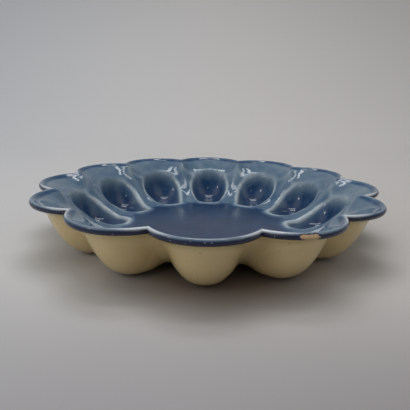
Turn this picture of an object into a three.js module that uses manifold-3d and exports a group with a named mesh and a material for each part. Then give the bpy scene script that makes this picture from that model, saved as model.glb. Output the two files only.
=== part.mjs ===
// A scalloped egg dish in earthenware: a clay shell with one egg well in each lobe of its rim,
// a blue glaze inside and over the lip, and a cream glaze outside.
// Millimetres, +Z up, standing on z = 0 with the middle of the dish on the Z axis.

import * as THREE from 'three';
import { LoftGeometry } from 'three/addons/geometries/LoftGeometry.js';
import { mergeGeometries, mergeVertices } from 'three/addons/utils/BufferGeometryUtils.js';
import Module from 'manifold-3d';

// Rim
const lobeCount = 12;
const rimRadius = 140; // crown of a lobe from the middle of the dish
const lobeRadius = 38.5; // arc that each lobe follows, seen from above
const notchRound = 0.6; // softening where two lobes meet
const height = 44;

// Lip: a thick band that stands out past the wall below it
const lipWidth = 4.8; // seen from above
const lipDepth = 4.4; // seen from the side
const lipOverhang = 2.2; // past the wall below
const lipCorner = 1.2; // rounding of its corners
const lipSlope = 1.2; // how far its top falls towards the inside

// Middle floor, and the curved wall whose uncut parts are the ribs between the wells
const floorTop = 8;
const wallRun = 62; // from the crown of a lobe in to the edge of the floor
const ribSetback = 1; // where the wall reaches the rim, inside the notch of the lip
const wallCurve = 1.65; // 1 would be a straight cone
const ribCrown = 1.2; // how far a rib stands over the wall beside it
const ribBreadth = 5.5;

// Apron: the sloping hollow between the lip and a well
const apronSlope = THREE.MathUtils.degToRad(25);
const apronRise = 9.4; // how far its sides rise towards the notches
const apronCurve = 3.5; // 2 would be an even hollow

// Egg wells
const wellInset = 47; // deepest point of a well from the crown of its lobe
const cupRise = 30; // height over which the reaches of the wells and bulges are measured
const wellReachOut = 22.6; // towards the rim
const wellReachIn = 45; // towards the middle
const wellHalfWidth = 24.3;
const wellCurve = 3.15; // steepness of the sides
const wellSquareOut = 2.1; // 2 is a round end seen from above
const wellSquareIn = 3.4;

// Bulges outside, one round each well and fuller than it
const bulgeReachOut = 35.5;
const bulgeReachIn = 46;
const bulgeHalfWidth = 26.5;
const bulgeCurve = 3;
const bulgeSquare = 2.2;

// Walls, coats and rounded edges
const wall = 3.6; // least finished thickness, both coats included
const edgeRound = 4; // edges between the ribs and the lobes
const noseRound = 6; // edge between an apron and its well
const valleyRound = 4; // hollows between the bulges outside
const glaze = 0.4;
const glazeGap = 0.2; // between a coat and the clay
const glazeSeam = 0.3; // between the two coats, under the lip

// Foot pads: bare clay under the wells
const footRadius = 6;
const footStand = 0.35; // how far the pads stand out of the cream coat
const footSides = 12;
const footClearance = 0.3; // round each pad, in the cream coat

// Fineness of the faceted surfaces
const stepsPerLobe = 8;
const insideRows = 11;
const outsideRows = 9;
const floorShare = 0.48; // first row of the shell, as a share of the way out to the lip

const pitch = (2 * Math.PI) / lobeCount;
const lobeCentre = rimRadius - lobeRadius;
const wellDistance = rimRadius - wellInset;
const wellBottom = footStand + wall;
const floorEdge = rimRadius - wallRun;

// Smaller of two heights, with the crossing rounded over
function softMin(a, b, round) {
  const near = Math.max(round - Math.abs(a - b), 0) / round;
  return Math.min(a, b) - (near * near * round) / 4;
}

// Distance from the middle to the lobed outline, moved out by offset, at an angle off a lobe's axis
function outline(angle, offset) {
  const radius = lobeRadius + offset;
  const reach = (turn) => {
    const rest = radius ** 2 - (lobeCentre * Math.sin(turn)) ** 2;
    return lobeCentre * Math.cos(turn) + Math.sqrt(Math.max(rest, 0));
  };
  const own = reach(angle);
  const next = reach(pitch - Math.abs(angle));
  return -softMin(-own, -next, notchRound);
}

const notch = outline(pitch / 2, -lipWidth);
const notchHalf = notch * Math.sin(pitch / 2);
const ribTop = notch - ribSetback;

// Heights of the three faces that shape the inside. x runs out along a lobe's axis, y across it.
function wallHeight(x, y) {
  const radius = Math.hypot(x, y);
  const climb = Math.max(radius - floorEdge, 0) / (ribTop - floorEdge);
  const fromRib = radius * Math.sin(pitch / 2 - Math.min(Math.abs(Math.atan2(y, x)), pitch / 2));
  const crown = Math.min(climb, 1) * ribCrown * (1 - Math.exp(-((fromRib / ribBreadth) ** 2)));
  return floorTop + (height - floorTop) * climb ** wallCurve - crown;
}

function apronHeight(x, y) {
  const inward = rimRadius - lipWidth - x;
  const overWell = Math.max(wellDistance - x, 0);
  const drop = Math.tan(apronSlope) * (inward - 2 * overWell);
  return height - lipSlope - drop + apronRise * Math.abs(y / notchHalf) ** apronCurve;
}

// Height of a rounded cup over its deepest point on a lobe's axis
function cupHeight(x, y, reach, halfWidth, square, curve) {
  const along = Math.abs((x - wellDistance) / reach) ** square;
  const across = Math.abs(y / halfWidth) ** square;
  return cupRise * (along + across) ** (curve / square);
}

function wellHeight(x, y) {
  const outward = x > wellDistance;
  const reach = outward ? wellReachOut : wellReachIn;
  const square = outward ? wellSquareOut : wellSquareIn;
  return wellBottom + cupHeight(x, y, reach, wellHalfWidth, square, wellCurve);
}

function bulgeHeight(x, y) {
  const reach = x > wellDistance ? bulgeReachOut : bulgeReachIn;
  return footStand + cupHeight(x, y, reach, bulgeHalfWidth, bulgeSquare, bulgeCurve);
}

// The face one wall thickness below another, measured square to it
function belowFace(face, x, y) {
  const step = 0.1;
  const slopeX = (face(x + step, y) - face(x - step, y)) / (2 * step);
  const slopeY = (face(x, y + step) - face(x, y - step)) / (2 * step);
  return face(x, y) - wall * Math.hypot(1, slopeX, slopeY);
}

function insideHeight(x, y) {
  const lobe = softMin(apronHeight(x, y), wellHeight(x, y), noseRound);
  return Math.min(softMin(wallHeight(x, y), lobe, edgeRound), height - lipSlope);
}

function outsideHeight(x, y) {
  const above = softMin(belowFace(wallHeight, x, y), belowFace(apronHeight, x, y), valleyRound);
  const bulge = Math.min(bulgeHeight(x, y), belowFace(wellHeight, x, y));
  return THREE.MathUtils.clamp(softMin(above, bulge, valleyRound), footStand, height - lipDepth);
}

// One ring round the dish. place(angle) gives the distance from the middle and the height.
function ring(place) {
  const points = [];
  for (let i = 0; i < lobeCount * stepsPerLobe; i++) {
    const turn = (i * pitch) / stepsPerLobe;
    const offAxis = ((i + stepsPerLobe / 2) % stepsPerLobe) - stepsPerLobe / 2;
    const [radius, z] = place((offAxis * pitch) / stepsPerLobe);
    points.push(new THREE.Vector3(radius * Math.cos(turn), radius * Math.sin(turn), z));
  }
  return points;
}

// Rings of a face, from its middle point out to the lobed outline at offset
function faceRings(face, offset, count) {
  const rings = [ring(() => [0, face(0, 0)])];
  for (let row = 0; row <= count; row++) {
    const share = floorShare + ((1 - floorShare) * row) / count;
    rings.push(ring((angle) => {
      const radius = outline(angle, offset) * share;
      return [radius, face(radius * Math.cos(angle), radius * Math.sin(angle))];
    }));
  }
  return rings;
}

// Rings of the lip, from its underside up the band and over the top
function lipRings() {
  const section = [
    [glazeSeam - lipOverhang, height - lipDepth],
    [-lipCorner, height - lipDepth],
    [0, height - lipDepth + lipCorner],
    [0, height - lipCorner],
    [-lipCorner, height],
    [lipCorner - lipWidth, height - lipSlope / 2],
  ];
  return section.map(([offset, z]) => ring((angle) => [outline(angle, offset), z]));
}

// The same rings sunk by depth into the clay. The first and last are the middle points of the dish.
function sunk(rings, depth) {
  const lastRow = rings.length - 1;
  return rings.map((points, row) => points.map((point, i) => {
    if (row === 0 || row === lastRow) {
      return point.clone().setZ(row === 0 ? point.z + depth : point.z - depth);
    }
    const before = points[(i + points.length - 1) % points.length];
    const after = points[(i + 1) % points.length];
    const along = after.clone().sub(before);
    const travel = rings[row + 1][i].clone().sub(rings[row - 1][i]);
    return point.clone().addScaledVector(along.cross(travel).normalize(), -depth);
  }));
}

const wasm = await Module();
wasm.setup();

function toSolid(geometry) {
  const bare = new THREE.BufferGeometry().copy(geometry);
  bare.deleteAttribute('normal');
  bare.deleteAttribute('uv');
  const merged = mergeVertices(bare);
  return new wasm.Manifold(new wasm.Mesh({
    numProp: 3,
    vertProperties: new Float32Array(merged.attributes.position.array),
    triVerts: new Uint32Array(merged.index.array),
  }));
}

function toGeometry(solid) {
  const mesh = solid.getMesh();
  const geometry = new THREE.BufferGeometry();
  geometry.setAttribute('position', new THREE.BufferAttribute(mesh.vertProperties, 3));
  geometry.setIndex(new THREE.BufferAttribute(mesh.triVerts, 1));
  geometry.computeVertexNormals();
  return geometry;
}

// Upright pad under each well, from the table to a height inside the clay
function footPads(radius, top) {
  const pads = [];
  for (let lobe = 0; lobe < lobeCount; lobe++) {
    const pad = new THREE.CylinderGeometry(radius, radius, top, footSides);
    pad.rotateX(Math.PI / 2);
    pad.translate(wellDistance, 0, top / 2);
    pad.rotateZ(lobe * pitch);
    pads.push(toSolid(pad));
  }
  return pads;
}

// The finished skin of the dish: up the outside from under the middle, round the lip, and down inside
const outside = faceRings(outsideHeight, -lipOverhang, outsideRows);
const inside = [...lipRings(), ...faceRings(insideHeight, -lipWidth, insideRows).reverse()];
const skin = [...outside, ...inside];
const coatBack = sunk(skin, glaze);
const clayFace = sunk(skin, glaze + glazeGap);

function clayBody() {
  const footTop = (wellBottom + footStand) / 2;
  const shell = toSolid(new LoftGeometry(clayFace));
  return toGeometry(footPads(footRadius, footTop).reduce((solid, pad) => solid.add(pad), shell));
}

// A thin coat: its front, its back turned over, and the strip along its edge
function coat(front, back, edge) {
  const reverse = new LoftGeometry(back);
  const corners = reverse.index.array;
  for (let i = 0; i < corners.length; i += 3) {
    [corners[i], corners[i + 1]] = [corners[i + 1], corners[i]];
  }
  return toSolid(mergeGeometries([new LoftGeometry(front), reverse, new LoftGeometry(edge)]));
}

function blueGlaze() {
  const back = coatBack.slice(outside.length);
  return toGeometry(coat(inside, back, [back[0], inside[0]]));
}

function creamGlaze() {
  const back = coatBack.slice(0, outside.length);
  const whole = coat(outside, back, [outside.at(-1), back.at(-1)]);
  const holes = footPads(footRadius + footClearance, wellBottom);
  return toGeometry(holes.reduce((solid, hole) => solid.subtract(hole), whole));
}

function piece(name, geometry, color, roughness) {
  const mesh = new THREE.Mesh(geometry, new THREE.MeshStandardMaterial({ color, roughness, metalness: 0 }));
  mesh.name = name;
  return mesh;
}

const eggDish = new THREE.Group();
eggDish.add(piece('clay_body', clayBody(), 0xc08a5c, 0.85));
eggDish.add(piece('blue_glaze', blueGlaze(), 0x31507c, 0.12));
eggDish.add(piece('cream_glaze', creamGlaze(), 0xd6c896, 0.25));

export default eggDish;
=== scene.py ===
import bpy
import math
import numpy as np
from mathutils import Matrix, Vector


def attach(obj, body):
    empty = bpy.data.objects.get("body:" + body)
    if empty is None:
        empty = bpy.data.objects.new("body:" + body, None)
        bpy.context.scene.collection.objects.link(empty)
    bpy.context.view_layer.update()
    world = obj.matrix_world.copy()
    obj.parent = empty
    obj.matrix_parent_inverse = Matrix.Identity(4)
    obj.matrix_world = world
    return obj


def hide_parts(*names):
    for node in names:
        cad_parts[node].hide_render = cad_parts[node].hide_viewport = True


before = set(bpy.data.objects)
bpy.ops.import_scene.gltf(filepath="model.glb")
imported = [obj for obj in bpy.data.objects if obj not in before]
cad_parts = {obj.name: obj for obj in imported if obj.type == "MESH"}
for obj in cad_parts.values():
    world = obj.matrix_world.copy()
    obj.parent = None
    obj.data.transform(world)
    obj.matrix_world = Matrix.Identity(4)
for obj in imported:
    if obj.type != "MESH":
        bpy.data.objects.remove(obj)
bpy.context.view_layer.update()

scene = bpy.context.scene
print("frame loaded", sorted(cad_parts))

# sizes of the dish in metres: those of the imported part, then what is only here
dish = {
    "lobes": 12, "rimRadius": .140, "lobeRadius": .0385, "notchRound": .0006, "height": .044,
    "lipWidth": .0048, "lipDepth": .0044, "lipOverhang": .0022, "lipSlope": .0012,
    "floorTop": .0080, "wallRun": .062, "wallCurve": 1.65,
    "ribSetback": .001, "ribCrown": .0012, "ribBreadth": .0055,
    "apronSlope": math.radians(25), "apronRise": .0094, "apronCurve": 3.5,
    "wellInset": .047, "cupRise": .030, "wellReachOut": .0226, "wellReachIn": .0450,
    "wellHalfWidth": .0243, "wellCurve": 3.15, "wellSquareOut": 2.1,
    "bulgeReachOut": .0355, "bulgeReachIn": .046, "bulgeHalfWidth": .0265,
    "bulgeCurve": 3.0, "bulgeSquare": 2.2,
    "wall": .0036, "edgeRound": .004, "noseRound": .006, "valleyRound": .004,
    "glaze": .0004, "glazeGap": .0002, "glazeSeam": .0003,
    "footRadius": .006, "footStand": .00035, "footClearance": .0003,
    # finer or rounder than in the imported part
    "wellSquareIn": 2.7, "floorDome": .0005, "apronRound": .010, "apronFade": .014, "rimRound": .002,
    "bead": .0016, "beadOut": .0012, "beadWidth": .0026, "beadFade": (.0015, .010),
    "cupFade": (-.004, .010),
    # steps over which slopes are read, and how close points are merged
    "faceStep": .0001, "edgeStep": .0003, "leastSlope": .05, "merge": .00001,
}
pitch = 2 * math.pi / dish["lobes"]
lobeCentre = dish["rimRadius"] - dish["lobeRadius"]
wellDistance = dish["rimRadius"] - dish["wellInset"]
wellBottom = dish["footStand"] + dish["wall"]
floorEdge = dish["rimRadius"] - dish["wallRun"]
underLip = dish["height"] - dish["lipDepth"]


def softMin(a, b, blend):
    near = np.maximum(blend - np.abs(a - b), 0) / blend
    return np.minimum(a, b) - near * near * blend / 4


def smooth(low, high, value):
    t = np.clip((value - low) / (high - low), 0, 1)
    return t * t * (3 - 2 * t)


def lobeOutline(angle, offset):  # distance from the middle to the scalloped outline
    radius = dish["lobeRadius"] + offset

    def reach(turn):
        rest = radius ** 2 - (lobeCentre * np.sin(turn)) ** 2
        return lobeCentre * np.cos(turn) + np.sqrt(np.maximum(rest, 0))
    return -softMin(-reach(angle), -reach(pitch - np.abs(angle)), dish["notchRound"])


notch = lobeOutline(np.array(pitch / 2), -dish["lipWidth"])
ribTop = notch - dish["ribSetback"]
notchHalf = notch * math.sin(pitch / 2)


def wallHeight(x, y):  # floor, and the ribs that climb from it to the rim
    radius = np.hypot(x, y)
    climb = np.maximum(radius - floorEdge, 0) / (ribTop - floorEdge)
    rise = (dish["height"] - dish["floorTop"]) * climb ** dish["wallCurve"]
    fromRib = radius * np.sin(pitch / 2 - np.minimum(np.abs(np.arctan2(y, x)), pitch / 2))
    crown = np.minimum(climb, 1) * dish["ribCrown"] * (1 - np.exp(-(fromRib / dish["ribBreadth"]) ** 2))
    dome = dish["floorDome"] * (1 - np.minimum(radius / floorEdge, 1) ** 2)
    return dish["floorTop"] + dome + rise - crown


def apronHeight(x, y):  # slope between the lip and a well
    inward = dish["rimRadius"] - dish["lipWidth"] - x
    overWell = np.maximum(wellDistance - x, 0)
    drop = math.tan(dish["apronSlope"]) * (inward - 2 * overWell)
    sides = dish["apronRise"] * np.abs(y / notchHalf) ** dish["apronCurve"]
    return dish["height"] - dish["lipSlope"] - drop + sides


def cupHeight(x, y, reach, halfWidth, square, curve):
    along = np.abs((x - wellDistance) / reach) ** square
    across = np.abs(y / halfWidth) ** square
    return dish["cupRise"] * (along + across) ** (curve / square)


def wellHeight(x, y):
    outward = x > wellDistance
    reach = np.where(outward, dish["wellReachOut"], dish["wellReachIn"])
    square = np.where(outward, dish["wellSquareOut"], dish["wellSquareIn"])
    return wellBottom + cupHeight(x, y, reach, dish["wellHalfWidth"], square, dish["wellCurve"])


def bulgeHeight(x, y):
    reach = np.where(x > wellDistance, dish["bulgeReachOut"], dish["bulgeReachIn"])
    bulge = cupHeight(x, y, reach, dish["bulgeHalfWidth"], dish["bulgeSquare"], dish["bulgeCurve"])
    return dish["footStand"] + bulge


def slopes(face, x, y, step):
    slopeX = (face(x + step, y) - face(x - step, y)) / (2 * step)
    slopeY = (face(x, y + step) - face(x, y - step)) / (2 * step)
    return slopeX, slopeY


def belowFace(face, x, y):  # one wall thickness under a face, square to it
    slopeX, slopeY = slopes(face, x, y, dish["faceStep"])
    return face(x, y) - dish["wall"] * np.sqrt(1 + slopeX ** 2 + slopeY ** 2)


def lobeHeight(x, y):
    return softMin(apronHeight(x, y), wellHeight(x, y), dish["noseRound"])


def noseGap(x, y):  # above zero in a well, zero where it meets its apron
    return apronHeight(x, y) - wellHeight(x, y)


def ringGap(x, y):  # above zero inside a lobe, zero on the ring round it
    return wallHeight(x, y) - lobeHeight(x, y)


def pastEdge(gap, x, y):  # about how far a point lies past the edge where a gap is zero
    slopeX, slopeY = slopes(gap, x, y, dish["edgeStep"])
    return gap(x, y) / np.maximum(np.hypot(slopeX, slopeY), dish["leastSlope"])


def inCup(x, y):  # one in a well, none on its apron
    return smooth(*dish["cupFade"], noseGap(x, y))


def insideHeight(x, y):  # crisp edges round the wells, soft ones where the aprons meet the ribs
    fromLip = lobeOutline(np.arctan2(y, x), -dish["lipWidth"]) - np.hypot(x, y)
    soft = (1 - inCup(x, y)) * smooth(0, dish["apronFade"], fromLip)
    edge = dish["edgeRound"] + (dish["apronRound"] - dish["edgeRound"]) * soft
    inner = softMin(wallHeight(x, y), lobeHeight(x, y), edge)
    onBead = np.exp(-((pastEdge(ringGap, x, y) + dish["beadOut"]) / dish["beadWidth"]) ** 2)
    low = 1 - smooth(*dish["beadFade"], wallHeight(x, y) - dish["floorTop"])
    inner = inner + dish["bead"] * onBead * low * inCup(x, y)
    return softMin(inner, dish["height"] - dish["lipSlope"], dish["rimRound"])


def outsideHeight(x, y):
    above = softMin(belowFace(wallHeight, x, y), belowFace(apronHeight, x, y), dish["valleyRound"])
    bulge = np.minimum(bulgeHeight(x, y), belowFace(wellHeight, x, y))
    return np.clip(softMin(above, bulge, dish["valleyRound"]), dish["footStand"], underLip)


def bend(face, x, y, step):  # how sharply a face turns over: above zero on ridges, below zero in hollows
    z = face(x, y)
    slopeX, slopeY = slopes(face, x, y, step)
    bendX = (face(x + step, y) + face(x - step, y) - 2 * z) / step ** 2
    bendY = (face(x, y + step) + face(x, y - step) - 2 * z) / step ** 2
    ahead = face(x + step, y + step) - face(x + step, y - step)
    behind = face(x - step, y + step) - face(x - step, y - step)
    twist = (ahead - behind) / (4 * step ** 2)
    turned = (1 + slopeY ** 2) * bendX - 2 * slopeX * slopeY * twist + (1 + slopeX ** 2) * bendY
    return -turned / np.sqrt(1 + slopeX ** 2 + slopeY ** 2) ** 3


def deselectAll():
    if bpy.context.object and bpy.context.object.mode != "OBJECT":
        bpy.ops.object.mode_set(mode="OBJECT")
    bpy.ops.object.select_all(action="DESELECT")


def pick(piece):
    deselectAll()
    piece.select_set(True)
    bpy.context.view_layer.objects.active = piece


def editAll(piece):
    pick(piece)
    bpy.ops.object.mode_set(mode="EDIT")
    bpy.ops.mesh.select_all(action="SELECT")


def selectEdges(piece, wanted):  # in object mode, edges with both ends where they are wanted
    for edge in piece.data.edges:
        edge.select = all(wanted(piece.data.vertices[v].co) for v in edge.vertices)


def applyModifier(piece, kind, **settings):
    pick(piece)
    modifier = piece.modifiers.new(kind.lower(), kind)
    for key, value in settings.items():
        setattr(modifier, key, value)
    bpy.ops.object.modifier_apply(modifier=modifier.name)


def copyPiece(piece, name):
    pick(piece)
    bpy.ops.object.duplicate()
    bpy.context.object.name = name
    return bpy.context.object


# one lobe's wedge as a grid, rows running out from the middle and steps across it
def lobeGrid(name, rows, steps):
    deselectAll()
    bpy.ops.mesh.primitive_grid_add(x_subdivisions=rows, y_subdivisions=steps, size=1)
    wedge = bpy.context.object
    wedge.name = name
    co = np.zeros(len(wedge.data.vertices) * 3)
    wedge.data.vertices.foreach_get("co", co)
    co = co.reshape(-1, 3)
    row = np.rint((co[:, 0] + .5) * rows).astype(int)
    angle = co[:, 1] * pitch
    return wedge, row, angle


def rowShares(floorShare, floorRows, rows):  # wide rows over the floor, close ones from there to the lip
    toFloor = np.linspace(0, floorShare, floorRows + 1)
    toLip = np.linspace(floorShare, 1, rows + 1)[1:]
    return np.concatenate([toFloor, toLip])


# turn the wedge round the dish's axis and close the seams
def spinLobes(wedge):
    editAll(wedge)
    bpy.ops.mesh.spin(steps=dish["lobes"] - 1, dupli=True, angle=2 * math.pi - pitch,
                      center=(0, 0, 0), axis=(0, 0, 1))
    bpy.ops.mesh.select_all(action="SELECT")
    bpy.ops.mesh.remove_doubles(threshold=dish["merge"])
    bpy.ops.object.mode_set(mode="OBJECT")
    bpy.ops.object.shade_smooth()


def setPoints(wedge, radius, angle, z):
    co = np.stack([radius * np.cos(angle), radius * np.sin(angle), z], -1)
    wedge.data.vertices.foreach_set("co", co.ravel())
    wedge.data.update()


def setAttribute(piece, name, values):
    attribute = piece.data.attributes.new(name, "FLOAT", "POINT")
    attribute.data.foreach_set("value", np.asarray(values, np.float32))


def faceUp(piece, up):  # make the wedge's faces look the right way before it is turned into the dish
    middle = piece.data.polygons[len(piece.data.polygons) // 3]
    if (middle.normal.z > 0) != up:
        editAll(piece)
        bpy.ops.mesh.flip_normals()
        bpy.ops.object.mode_set(mode="OBJECT")


def curveThrough(points, count):  # smooth line through a few points
    p = np.array(points)
    p = np.vstack([2 * p[0] - p[1], p, 2 * p[-1] - p[-2]])
    out = []
    for t in np.linspace(0, len(points) - 1, count):
        i = min(int(t), len(points) - 2)
        u = t - i
        a, b, c, d = p[i], p[i + 1], p[i + 2], p[i + 3]
        square = (2 * a - 5 * b + 4 * c - d) * u ** 2
        cube = (3 * b - a - 3 * c + d) * u ** 3
        out.append(.5 * (2 * b + (c - a) * u + square + cube))
    return np.array(out)


# blue coat: floor, wells, ribs, aprons and the rolled lip
blue = {
    "steps": 40, "floorRows": 6, "wellRows": 78, "lipRows": 16, "floorShare": .38,
    # the lip's points: out from its edge and down from its top, then up from its underside
    "lipOver": [(-.0034, .0005), (-.0021, .00002), (-.0009, .0004), (-.0001, .0016), (-.00005, .0028)],
    "lipUnder": [(-.0006, .0004), (-.0013, 0)], "lipSag": .25,
    # how thin the glaze lies, from none where it is thick and dark to one where it is thin and pale
    "floorThin": .05, "floorFade": (.012, .004),
    "ribThin": .50, "ribPale": .16, "ribWidth": .0028, "ribFade": (.014, .028),
    "apronThin": .55, "rimPale": .08, "rimFade": (.036, .044),
    "cupEdge": .44, "cupDeep": .21, "cupFade": (.001, .011), "lobeFade": (-.0012, .0012),
    "ringPale": 1.0, "ringWidth": .0020, "ringSpread": 1.2, "ringFaint": .35, "ringFade": (.25, .8),
    "nosePale": .88, "noseWidth": .0022, "noseShare": .6,
    # painted shade along the lip's inner foot
    "lipThin": .55, "grooveShade": .5, "grooveWidth": .0014, "grooveShare": .14,
    # heights over which pools and the matt floor end
    "poolFade": (.006, .016), "flatFade": (.009, .014),
    # shares of the way over the lip, and of the way from a lobe's crown to its notches
    # painted shade on the lip's outer band and in its notches, painted highlight on its crest
    "bandFade": (.38, .52), "notchFade": (.88, .97), "notchBandFade": (.40, .52),
    "crestAt": .34, "crestWidth": .028, "sheenWiden": .08, "sheenWidenFade": (.45, .95),
    "crestPale": .62, "crestSheen": .38, "crestSheenFade": (.35, .8),
}


def makeLipLine():  # steps out from the lip's edge, and heights
    top = dish["height"]
    start = (-dish["lipWidth"], top - dish["lipSlope"])
    over = [(out, top - down) for out, down in blue["lipOver"]]
    under = [(out, underLip + up) for out, up in blue["lipUnder"]]
    seam = (dish["glazeSeam"] - dish["lipOverhang"], underLip)
    line = curveThrough([start, *over, *under, seam], blue["lipRows"] + 1)[1:]
    return np.minimum(line, [0, top])


# where the glaze runs thin over edges, and where it pools
def coatBowl(wedge, radius, angle, z, edge, inBowl, alongLip):
    x, y = radius * np.cos(angle), radius * np.sin(angle)
    inside = pastEdge(ringGap, x, y)
    inLobe = smooth(*blue["lobeFade"], inside)
    cup = inCup(x, y)
    hollow = cup * inLobe
    # floor and ribs
    rise = smooth(floorEdge - blue["floorFade"][0], floorEdge - blue["floorFade"][1], radius)
    fromRib = radius * np.sin(pitch / 2 - np.abs(angle))
    ribCrest = blue["ribPale"] * np.exp(-(fromRib / blue["ribWidth"]) ** 2) * smooth(*blue["ribFade"], z)
    wallThin = blue["floorThin"] + (blue["ribThin"] - blue["floorThin"]) * rise + ribCrest
    # wells and aprons
    cupThin = blue["cupEdge"] + (blue["cupDeep"] - blue["cupEdge"]) * smooth(*blue["cupFade"], inside)
    lobeThin = blue["apronThin"] + (cupThin - blue["apronThin"]) * cup
    lobeThin += blue["rimPale"] * smooth(*blue["rimFade"], z)
    thin = wallThin + (lobeThin - wallThin) * inLobe
    # pale ring round each well, wider on the floor's side, and the nose between well and apron
    ringWidth = blue["ringWidth"] * np.where(inside < 0, 1 + blue["ringSpread"] * (1 - rise), 1)
    ring = np.exp(-np.abs(inside / ringWidth) ** 3)
    ring *= blue["ringFaint"] + (1 - blue["ringFaint"]) * smooth(*blue["ringFade"], cup)
    thin += (blue["ringPale"] - thin) * ring
    nose = np.exp(-(pastEdge(noseGap, x, y) / blue["noseWidth"]) ** 2)
    thin += (blue["nosePale"] - thin) * blue["noseShare"] * nose * inLobe
    # painted shade: a dark line along the lip's inner foot
    footShade = np.where(inBowl, np.exp(-((edge - radius) / blue["grooveWidth"]) ** 2),
                        np.exp(-(alongLip / blue["grooveShare"]) ** 2))
    thin = np.where(inBowl, thin, blue["lipThin"]) * (1 - blue["grooveShade"] * footShade)
    setAttribute(wedge, "thin", thin)
    setAttribute(wedge, "pool", np.where(inBowl, hollow * (1 - smooth(*blue["poolFade"], z)), 0))
    setAttribute(wedge, "flat", np.where(inBowl, (1 - hollow) * (1 - smooth(*blue["flatFade"], z)), 0))


# the lip's dark outer band as painted shade, its pale crest as thin glaze with a painted highlight that
# widens and pales towards the notches, and the dark ends of the band in the notches as pooled glaze with
# painted shade
def coatLip(wedge, angle, inBowl, alongLip):
    ends = np.abs(angle) / (pitch / 2)  # none at the crown of a lobe, one at its notches
    crestWidth = blue["crestWidth"] + blue["sheenWiden"] * smooth(*blue["sheenWidenFade"], ends)
    crestPale = blue["crestPale"] + blue["crestSheen"] * smooth(*blue["crestSheenFade"], ends)
    crest = crestPale * np.exp(-((alongLip - blue["crestAt"]) / crestWidth) ** 2)
    inNotch = smooth(*blue["notchFade"], ends) * smooth(*blue["notchBandFade"], alongLip)
    setAttribute(wedge, "lipBand", np.where(inBowl, 0, smooth(*blue["bandFade"], alongLip)))
    setAttribute(wedge, "lipCrest", np.where(inBowl, 0, crest))
    setAttribute(wedge, "notch", np.where(inBowl, 0, inNotch))


def makeBlueSkin():
    rows = blue["floorRows"] + blue["wellRows"] + blue["lipRows"]
    wedge, row, angle = lobeGrid("blueGlaze", rows, blue["steps"])
    share = rowShares(blue["floorShare"], blue["floorRows"], blue["wellRows"])
    lip = makeLipLine()
    inBowl = row < len(share)
    lipRow = np.clip(row - len(share), 0, len(lip) - 1)
    alongLip = (lipRow + 1) / len(lip)
    edge = lobeOutline(angle, -dish["lipWidth"])
    radius = edge * share[np.minimum(row, len(share) - 1)]
    # the lip starts at the bowl's own height
    sag = insideHeight(edge * np.cos(angle), edge * np.sin(angle)) - (dish["height"] - dish["lipSlope"])
    lipHeight = lip[lipRow, 1] + sag * np.clip(1 - alongLip / blue["lipSag"], 0, 1)
    z = np.where(inBowl, insideHeight(radius * np.cos(angle), radius * np.sin(angle)), lipHeight)
    setPoints(wedge, np.where(inBowl, radius, lobeOutline(angle, lip[lipRow, 0])), angle, z)
    coatBowl(wedge, radius, angle, z, edge, inBowl, alongLip)
    coatLip(wedge, angle, inBowl, alongLip)
    faceUp(wedge, True)
    spinLobes(wedge)
    return wedge


# cream coat: everything outside, from the seam under the lip to the middle of the underside
cream = {
    "steps": 40, "rows": 64, "floorRows": 6, "floorShare": .44,
    "bendStep": .0015, "bendFull": 160,  # how sharp a hollow gets the whole of the deeper cream
}


def makeCreamSkin():
    rows = cream["floorRows"] + cream["rows"]
    wedge, row, angle = lobeGrid("creamGlaze", rows, cream["steps"])
    share = rowShares(cream["floorShare"], cream["floorRows"], cream["rows"])[row]
    radius = lobeOutline(angle, -dish["lipOverhang"]) * share
    x, y = radius * np.cos(angle), radius * np.sin(angle)
    setPoints(wedge, radius, angle, np.where(row == rows, underLip, outsideHeight(x, y)))
    sharpness = bend(outsideHeight, x, y, cream["bendStep"]) / cream["bendFull"]
    setAttribute(wedge, "hollow", np.clip(sharpness, -1, 1))
    faceUp(wedge, False)
    spinLobes(wedge)
    return wedge


blueGlaze = makeBlueSkin()
print("blue skin", len(blueGlaze.data.polygons))
creamGlaze = makeCreamSkin()
print("cream skin", len(creamGlaze.data.polygons))


# bare clay: both skins joined and sunk by the coat, with a pad under each well
clay = {
    "seamMerge": .0006, "padSides": 40, "padRound": .0004, "padSegments": 3, "padSharp": 1,
    "padTurn": math.radians(2.3),  # keeps the pads' corners off the skins' grid lines
    "wipeBelow": .002, "wipeSkin": .001,  # how far the cutter that bares the pads reaches
}


def footPads(name, radius, low, high):
    first = None
    for lobe in range(dish["lobes"]):
        deselectAll()
        turn = lobe * pitch
        place = (wellDistance * math.cos(turn), wellDistance * math.sin(turn), (low + high) / 2)
        bpy.ops.mesh.primitive_cylinder_add(vertices=clay["padSides"], radius=radius, depth=high - low,
                                            location=place, rotation=(0, 0, turn + clay["padTurn"]))
        pad = bpy.context.object
        bpy.ops.object.transform_apply(location=True, rotation=True, scale=True)
        applyModifier(pad, "BEVEL", width=clay["padRound"], segments=clay["padSegments"],
                      limit_method="ANGLE", angle_limit=clay["padSharp"])
        if first:
            first.select_set(True)
            bpy.context.view_layer.objects.active = first
            bpy.ops.object.join()
        else:
            first = pad
            first.name = name
    return first


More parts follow.
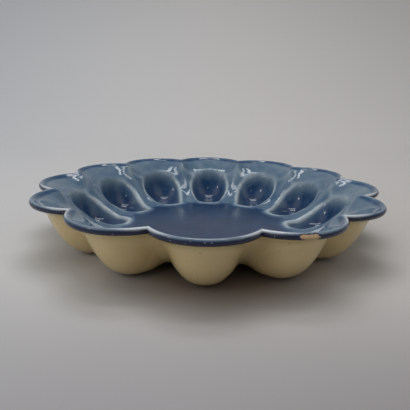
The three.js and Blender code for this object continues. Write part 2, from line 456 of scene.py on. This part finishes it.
def makeClay():
    top = copyPiece(blueGlaze, "clayTop")
    under = copyPiece(creamGlaze, "clayUnder")
    pick(top)
    under.select_set(True)
    bpy.ops.object.join()
    body = bpy.context.object
    body.name = "clayBody"
    # close the seam under the lip, then count what is still open
    editAll(body)
    bpy.ops.mesh.select_all(action="DESELECT")
    bpy.ops.mesh.select_non_manifold()
    bpy.ops.mesh.remove_doubles(threshold=clay["seamMerge"])
    bpy.ops.mesh.select_all(action="DESELECT")
    bpy.ops.mesh.select_non_manifold()
    bpy.ops.object.mode_set(mode="OBJECT")
    print("open edges in the clay", sum(e.select for e in body.data.edges))
    sunk = -(dish["glaze"] + dish["glazeGap"])
    applyModifier(body, "DISPLACE", strength=sunk, mid_level=0, direction="NORMAL")
    feet = footPads("feet", dish["footRadius"], 0, dish["footStand"] + dish["wall"] / 2)
    applyModifier(body, "BOOLEAN", object=feet, operation="UNION", solver="EXACT")
    bpy.data.objects.remove(feet)
    return body


clayBody = makeClay()
print("clay", len(clayBody.data.polygons))

# give both coats their thickness, wipe the feet bare and chip the lip
applyModifier(blueGlaze, "SOLIDIFY", thickness=dish["glaze"], offset=-1, use_rim=True)
applyModifier(creamGlaze, "SOLIDIFY", thickness=dish["glaze"], offset=-1, use_rim=True)
wiped = footPads("wiped", dish["footRadius"] + dish["footClearance"],
                 -clay["wipeBelow"], wellBottom - clay["wipeSkin"])
applyModifier(creamGlaze, "BOOLEAN", object=wiped, operation="DIFFERENCE", solver="EXACT")
bpy.data.objects.remove(wiped)

chip = {
    "turn": math.radians(-90 + 24.9), "below": .0034,
    "length": .0062, "tall": .0029, "deep": .0026, "blunt": .7, "ragged": .13,
}


def chipLip():
    deselectAll()
    turn = chip["turn"]
    offAxis = (turn + pitch / 2) % pitch - pitch / 2
    reach = float(lobeOutline(np.array(offAxis), 0))
    bpy.ops.mesh.primitive_ico_sphere_add(subdivisions=4, radius=1, location=(0, 0, 0))
    cutter = bpy.context.object
    co = np.array([v.co for v in cutter.data.vertices])
    along, up = co[:, 1], co[:, 2]
    waves = np.sin(7 * along + 2) * np.cos(5 * up) + .6 * np.sin(13 * along + 9 * up)
    ragged = 1 + chip["ragged"] * waves
    co /= np.abs(co).max(axis=1, keepdims=True) ** chip["blunt"]  # blunt ends
    co = co * ragged[:, None] * [chip["deep"], chip["length"], chip["tall"]]
    co = co @ np.array(Matrix.Rotation(turn, 3, "Z")).T
    co += [reach * math.cos(turn), reach * math.sin(turn), dish["height"] - chip["below"]]
    cutter.data.vertices.foreach_set("co", co.ravel())
    applyModifier(blueGlaze, "BOOLEAN", object=cutter, operation="DIFFERENCE", solver="EXACT")
    bpy.data.objects.remove(cutter)


chipLip()
print("coats", len(blueGlaze.data.polygons), len(creamGlaze.data.polygons))


# finishes
def newMaterial(name):
    material = bpy.data.materials.new(name)
    material.use_nodes = True
    tree = material.node_tree
    return material, tree, tree.nodes["Principled BSDF"]


def node(tree, kind, **inputs):
    made = tree.nodes.new(kind)
    for key, value in inputs.items():
        made.inputs[key.replace("_", " ")].default_value = value
    return made


def noise(tree, grain):
    coords = tree.nodes.new("ShaderNodeTexCoord")
    mapping = node(tree, "ShaderNodeMapping", Scale=grain.get("stretch", (1, 1, 1)))
    texture = node(tree, "ShaderNodeTexNoise", Scale=grain["scale"], Detail=grain["detail"],
                   Roughness=grain.get("rough", .5), Distortion=grain.get("distortion", 0))
    tree.links.new(coords.outputs["Object"], mapping.inputs["Vector"])
    tree.links.new(mapping.outputs["Vector"], texture.inputs["Vector"])
    return texture.outputs["Fac"]


def attribute(tree, name):
    made = tree.nodes.new("ShaderNodeAttribute")
    made.attribute_name = name
    return made.outputs["Fac"]


def objectAxes(tree):
    place = tree.nodes.new("ShaderNodeTexCoord").outputs["Object"]
    axes = tree.nodes.new("ShaderNodeSeparateXYZ")
    tree.links.new(place, axes.inputs["Vector"])
    return place, axes.outputs


def combine(tree, operation, a, b, clamp=False):
    made = tree.nodes.new("ShaderNodeMath")
    made.operation = operation
    made.use_clamp = clamp
    for socket, value in zip(made.inputs, (a, b)):
        if isinstance(value, (int, float)):
            socket.default_value = value
        else:
            tree.links.new(value, socket)
    return made.outputs["Value"]


def remap(tree, value, low, high, toLow, toHigh):
    made = node(tree, "ShaderNodeMapRange", From_Min=low, From_Max=high, To_Min=toLow, To_Max=toHigh)
    tree.links.new(value, made.inputs["Value"])
    return made.outputs["Result"]


def patches(tree, grain):  # noise cut off at two levels and spread between two values
    return remap(tree, noise(tree, grain), *grain["cut"], *grain["to"])


def ramp(tree, value, stops):
    made = tree.nodes.new("ShaderNodeValToRGB")
    elements = made.color_ramp.elements
    while len(elements) < len(stops):
        elements.new(1)
    for element, (place, colour) in zip(elements, stops):
        element.position = place
        element.color = (*colour, 1)
    tree.links.new(value, made.inputs["Fac"])
    return made.outputs["Color"]


def mix(tree, factor, a, b, blend="MIX"):
    made = tree.nodes.new("ShaderNodeMix")
    made.data_type = "RGBA"
    made.blend_type = blend
    for name, value in (("Factor", factor), ("A", a), ("B", b)):
        socket = next(s for s in made.inputs if s.name == name and s.enabled)
        if isinstance(value, (int, float)):
            socket.default_value = value
        elif isinstance(value, tuple):
            socket.default_value = (*value, 1)
        else:
            tree.links.new(value, socket)
    return next(s for s in made.outputs if s.enabled)


def bump(tree, grain):
    made = node(tree, "ShaderNodeBump", Strength=grain["strength"], Distance=grain["distance"])
    tree.links.new(noise(tree, grain), made.inputs["Height"])
    return made.outputs["Normal"]


blueFinish = {
    # from thick glaze to thin
    "stops": [(0, (.003, .020, .062)), (.22, (.010, .041, .108)), (.45, (.053, .102, .168)),
              (.68, (.122, .176, .228)), (1, (.36, .42, .46))],
    # colours laid over it, each with its strength
    # painted shade: lipBand darkens the lip's outer band
    "pool": ((.020, .030, .062), .5), "lipBand": ((.012, .015, .046), .95),
    # painted highlight: lipCrest pales the crest over its thin glaze; notch is pooled glaze with painted
    # shade
    "lipCrest": ((.58, .60, .62), .9), "notch": ((.004, .006, .024), .9),
    # pit: pinholes on the lip's band painted pale as glints
    "speck": (.012, .016, .03), "pitGlint": (.4, .42, .45),
    "cloud": {"scale": 38, "detail": 5, "rough": .6, "distortion": .6, "cut": (.3, .7), "to": (-.10, .10)},
    "runs": {"scale": 130, "detail": 3, "stretch": (1, 1, .25), "cut": (.3, .7), "to": (-.05, .05)},
    "specks": {"scale": 620, "detail": 2, "cut": (.66, .72), "to": (0, .45)},
    "pitGlints": {"scale": 640, "detail": 1, "cut": (.71, .75), "to": (0, .7)},
    "roughness": {"scale": 90, "detail": 3, "cut": (.3, .7), "to": (.04, .11)}, "flatRough": .16,
    "ripple": {"scale": 70, "detail": 1, "strength": .20, "distance": .0008}, "ior": 1.46,
}


def makeBlueFinish():
    material, tree, shader = newMaterial("blueGlaze")
    thin = combine(tree, "ADD", attribute(tree, "thin"), patches(tree, blueFinish["cloud"]))
    thin = combine(tree, "ADD", thin, patches(tree, blueFinish["runs"]), True)
    colour = ramp(tree, thin, blueFinish["stops"])
    for name in ("pool", "lipBand", "lipCrest", "notch"):
        tint, strength = blueFinish[name]
        colour = mix(tree, combine(tree, "MULTIPLY", attribute(tree, name), strength), colour, tint)
    colour = mix(tree, patches(tree, blueFinish["specks"]), colour, blueFinish["speck"])
    # painted glints: pinholes on the lip's band shown as pale specks
    pitGlints = combine(tree, "MULTIPLY", patches(tree, blueFinish["pitGlints"]), attribute(tree, "lipBand"))
    colour = mix(tree, pitGlints, colour, blueFinish["pitGlint"])
    tree.links.new(colour, shader.inputs["Base Color"])
    matt = combine(tree, "MULTIPLY", attribute(tree, "flat"), blueFinish["flatRough"])
    rough = combine(tree, "ADD", patches(tree, blueFinish["roughness"]), matt)
    tree.links.new(rough, shader.inputs["Roughness"])
    tree.links.new(bump(tree, blueFinish["ripple"]), shader.inputs["Normal"])
    shader.inputs["IOR"].default_value = blueFinish["ior"]
    return material


creamFinish = {
    "base": (.75, .59, .30), "pale": (.80, .65, .36),
    "deep": (.66, .50, .25), "deepShare": .8,  # in the hollows between the bulges
    # painted shadow of the lip on the cream just under it
    "underLip": (.58, .50, .24), "lipShadowShare": .8, "lipShadowFade": .007,
    "speck": (.25, .17, .08),
    "cloud": {"scale": 22, "detail": 4, "rough": .55, "distortion": .4, "cut": (.35, .65), "to": (0, 1)},
    "specks": {"scale": 420, "detail": 2, "cut": (.68, .74), "to": (0, .4)},
    "roughness": {"scale": 70, "detail": 3, "cut": (.3, .7), "to": (.11, .24)},
    "ripple": {"scale": 60, "detail": 3, "strength": .15, "distance": .0008}, "ior": 1.5,
}


def makeCreamFinish():
    material, tree, shader = newMaterial("creamGlaze")
    colour = mix(tree, patches(tree, creamFinish["cloud"]), creamFinish["base"], creamFinish["pale"])
    # darker in the hollows between the bulges
    hollowShare = remap(tree, attribute(tree, "hollow"), 0, -1, 0, creamFinish["deepShare"])
    colour = mix(tree, hollowShare, colour, creamFinish["deep"])
    # painted shadow: the cream darkens just under the lip
    axes = objectAxes(tree)[1]
    fadeFrom = underLip - creamFinish["lipShadowFade"]
    shaded = remap(tree, axes["Z"], fadeFrom, underLip, 0, creamFinish["lipShadowShare"])
    colour = mix(tree, shaded, colour, creamFinish["underLip"])
    colour = mix(tree, patches(tree, creamFinish["specks"]), colour, creamFinish["speck"])
    tree.links.new(colour, shader.inputs["Base Color"])
    tree.links.new(patches(tree, creamFinish["roughness"]), shader.inputs["Roughness"])
    tree.links.new(bump(tree, creamFinish["ripple"]), shader.inputs["Normal"])
    shader.inputs["IOR"].default_value = creamFinish["ior"]
    return material


clayFinish = {
    "base": (.68, .49, .31), "warm": (.68, .44, .25), "dark": (.2, .12, .07), "roughness": .85,
    "mottle": {"scale": 300, "detail": 5, "cut": (.35, .65), "to": (0, 1)},
    "grit": {"scale": 1500, "detail": 2, "cut": (.62, .70), "to": (0, .5)},
    "grain": {"scale": 900, "detail": 4, "strength": .5, "distance": .0004},
}


def makeClayFinish():
    material, tree, shader = newMaterial("bareClay")
    colour = mix(tree, patches(tree, clayFinish["mottle"]), clayFinish["base"], clayFinish["warm"])
    colour = mix(tree, patches(tree, clayFinish["grit"]), colour, clayFinish["dark"])
    tree.links.new(colour, shader.inputs["Base Color"])
    shader.inputs["Roughness"].default_value = clayFinish["roughness"]
    tree.links.new(bump(tree, clayFinish["grain"]), shader.inputs["Normal"])
    return material


finishes = ((blueGlaze, makeBlueFinish()), (creamGlaze, makeCreamFinish()), (clayBody, makeClayFinish()))
for piece, finish in finishes:
    piece.data.materials.clear()
    piece.data.materials.append(finish)
    pick(piece)
    bpy.ops.object.shade_smooth_by_angle(angle=math.radians(50))
print("finishes made")

pieces = (
    (clayBody, "clay_body", "clay"),
    (blueGlaze, "blue_glaze", "blue_glaze"),
    (creamGlaze, "cream_glaze", "cream_glaze"),
)
for piece, cadNode, slot in pieces:
    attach(piece, "root")
    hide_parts(cadNode)

# floor that sweeps up into a backdrop
studio = {
    "width": 30, "front": -12, "back": 1.0, "rise": 1.1, "sweep": .55, "sweepSteps": 24,
    "floor": (.44, .425, .41), "palerFloor": (.462, .44625, .4305), "roughness": .5,
    "grain": {"scale": 3, "detail": 3, "cut": (.3, .7), "to": (0, 1)},
    # painted light falloff: darker front edge, paler backdrop behind
    "frontEdge": (.20, .185, .195), "frontFade": (-.09, -.24),
    "behind": (.52, .505, .49), "behindFade": (.15, .6),
    # painted light: paler and cooler on the left
    "leftSide": (.48, .495, .51), "leftFade": (.1, -.6),
    "shade": (.095, .048, .018), "shadeAt": (.006, -.075, 0), "shadeFade": (.034, .080), "shadeShare": .84,
}


def makeFloorFinish():
    material, tree, shader = newMaterial("floor")
    colour = mix(tree, patches(tree, studio["grain"]), studio["floor"], studio["palerFloor"])
    # painted light falloff: painted shade darker towards the front edge, painted light paler behind
    place, axes = objectAxes(tree)
    colour = mix(tree, remap(tree, axes["Y"], *studio["frontFade"], 0, 1), colour, studio["frontEdge"])
    colour = mix(tree, remap(tree, axes["Y"], *studio["behindFade"], 0, 1), colour, studio["behind"])
    # warm shade under the front lobes
    apart = tree.nodes.new("ShaderNodeVectorMath")
    apart.operation = "DISTANCE"
    apart.inputs[1].default_value = studio["shadeAt"]
    tree.links.new(place, apart.inputs[0])
    shade = remap(tree, apart.outputs["Value"], *studio["shadeFade"], studio["shadeShare"], 0)
    colour = mix(tree, shade, colour, studio["shade"])
    # painted light: paler and cooler on the left
    colour = mix(tree, remap(tree, axes["X"], *studio["leftFade"], 0, 1), colour, studio["leftSide"])
    tree.links.new(colour, shader.inputs["Base Color"])
    shader.inputs["Roughness"].default_value = studio["roughness"]
    return material


def makeFloor():
    deselectAll()
    bpy.ops.mesh.primitive_plane_add(size=1, location=(0, 0, 0))
    floor = bpy.context.object
    floor.name = "floor"
    bpy.ops.object.mode_set(mode="EDIT")
    bpy.ops.transform.resize(value=(studio["width"], studio["back"] - studio["front"], 1))
    bpy.ops.transform.translate(value=(0, (studio["back"] + studio["front"]) / 2, 0))
    bpy.ops.mesh.select_all(action="DESELECT")
    bpy.ops.object.mode_set(mode="OBJECT")
    selectEdges(floor, lambda co: co.y > 0)
    bpy.ops.object.mode_set(mode="EDIT")
    bpy.ops.mesh.extrude_region_move(TRANSFORM_OT_translate={"value": (0, 0, studio["rise"])})
    bpy.ops.mesh.select_all(action="DESELECT")
    bpy.ops.object.mode_set(mode="OBJECT")
    selectEdges(floor, lambda co: co.y > 0 and co.z < studio["rise"] / 2)
    bpy.ops.object.mode_set(mode="EDIT")
    bpy.ops.mesh.bevel(offset=studio["sweep"], segments=studio["sweepSteps"])
    bpy.ops.object.mode_set(mode="OBJECT")
    bpy.ops.object.shade_smooth()
    floor.data.materials.append(makeFloorFinish())


makeFloor()
print("floor made")

# light: two broad lamps that gloss doesn't show, and small ones that it does
lamps = [
    {"name": "overhead", "watts": 12, "size": (1.6, 1.6), "mirrored": False,
     "at": (-.25, .1, 1.6), "aim": (0, 0, 0)},
    {"name": "front", "watts": 4.0, "size": (1.0, .8), "mirrored": False,
     "at": (-.85, -1.0, .8), "aim": (0, 0, 0)},
    {"name": "tube", "watts": 1.25, "size": (.62, .11), "mirrored": True,
     "at": (0, .02, .9), "aim": (0, 0, .02)},
    {"name": "backTube", "watts": 1.05, "size": (.36, .11), "mirrored": True,
     "at": (0, .26, .85), "aim": (0, 0, .02)},
    {"name": "bulb", "watts": .09, "size": (.07, .05), "mirrored": True,
     "at": (.11, -.81, .74), "aim": (0, 0, .02)},
    {"name": "leftBulb", "watts": .25, "size": (.11, .08), "mirrored": True,
     "at": (-.82, -.40, .62), "aim": (0, 0, .02)},
]
for lamp in lamps:
    light = bpy.data.lights.new(lamp["name"], "AREA")
    light.shape = "RECTANGLE"
    light.size, light.size_y = lamp["size"]
    light.energy = lamp["watts"]
    holder = bpy.data.objects.new(lamp["name"], light)
    scene.collection.objects.link(holder)
    holder.visible_glossy = lamp["mirrored"]
    holder.location = lamp["at"]
    toAim = Vector(lamp["aim"]) - Vector(lamp["at"])
    holder.rotation_euler = toAim.to_track_quat("-Z", "Y").to_euler()

# room: dim walls, paler ceiling, and a soft glow high on either side
room = {
    "levels": [(0, .20), (.25, .17), (.5, .11), (.77, .18), (.95, .30), (1, .33)], "cool": 1.04,
    "glows": [((-.66, -.30, .69), .82), ((.66, -.30, .69), .74)],
    "glowEdge": .84, "glowCurve": 1.6, "glowCool": 1.02,
}


def makeRoom():
    world = bpy.data.worlds.new("room")
    scene.world = world
    world.use_nodes = True
    tree = world.node_tree
    direction = tree.nodes.new("ShaderNodeTexCoord").outputs["Generated"]
    axes = tree.nodes.new("ShaderNodeSeparateXYZ")
    tree.links.new(direction, axes.inputs["Vector"])
    stops = [(place, (level, level, level * room["cool"])) for place, level in room["levels"]]
    colour = ramp(tree, axes.outputs["Z"], stops)
    for toward, bright in room["glows"]:
        facing = tree.nodes.new("ShaderNodeVectorMath")
        facing.operation = "DOT_PRODUCT"
        facing.inputs[1].default_value = toward
        tree.links.new(direction, facing.inputs[0])
        near = remap(tree, facing.outputs["Value"], room["glowEdge"], 1, 0, 1)
        near = combine(tree, "POWER", near, room["glowCurve"])
        colour = mix(tree, near, colour, (bright, bright, bright * room["glowCool"]), "ADD")
    tree.links.new(colour, tree.nodes["Background"].inputs["Color"])


makeRoom()
print("lamps and room made")

# camera at the photograph's place: distance in rim radii, focal and shift in pixels of the frame
view = {
    "frame": 410, "focal": 420.0, "shift": (2.6, -22.4), "distance": 2.518, "sensor": 36, "nearest": .01,
    "rise": math.radians(12.19), "turn": math.radians(.62), "roll": math.radians(1.13),
}


def makeCamera():
    turn, rise = view["turn"], view["rise"]
    aim = Vector((0, 0, dish["height"]))
    out = Vector((math.sin(turn) * math.cos(rise), -math.cos(turn) * math.cos(rise), math.sin(rise)))
    eye = aim + out * view["distance"] * dish["rimRadius"]
    right = (-out).cross(Vector((0, 0, 1))).normalized()
    up = out.cross(right)
    facing = Matrix((right, up, out)).transposed().to_4x4()
    yaw, tilt = (math.atan(s / view["focal"]) for s in view["shift"])
    yawed, tilted = Matrix.Rotation(yaw, 4, "Y"), Matrix.Rotation(tilt, 4, "X")
    rolled = Matrix.Rotation(view["roll"], 4, "Z")
    camera = bpy.data.objects.new("camera", bpy.data.cameras.new("camera"))
    scene.collection.objects.link(camera)
    camera.data.sensor_width = view["sensor"]
    camera.data.lens = view["sensor"] * view["focal"] / view["frame"]
    camera.data.clip_start = view["nearest"]
    camera.matrix_world = Matrix.Translation(eye) @ facing @ yawed @ tilted @ rolled
    scene.camera = camera


makeCamera()
scene.view_settings.view_transform = "Standard"
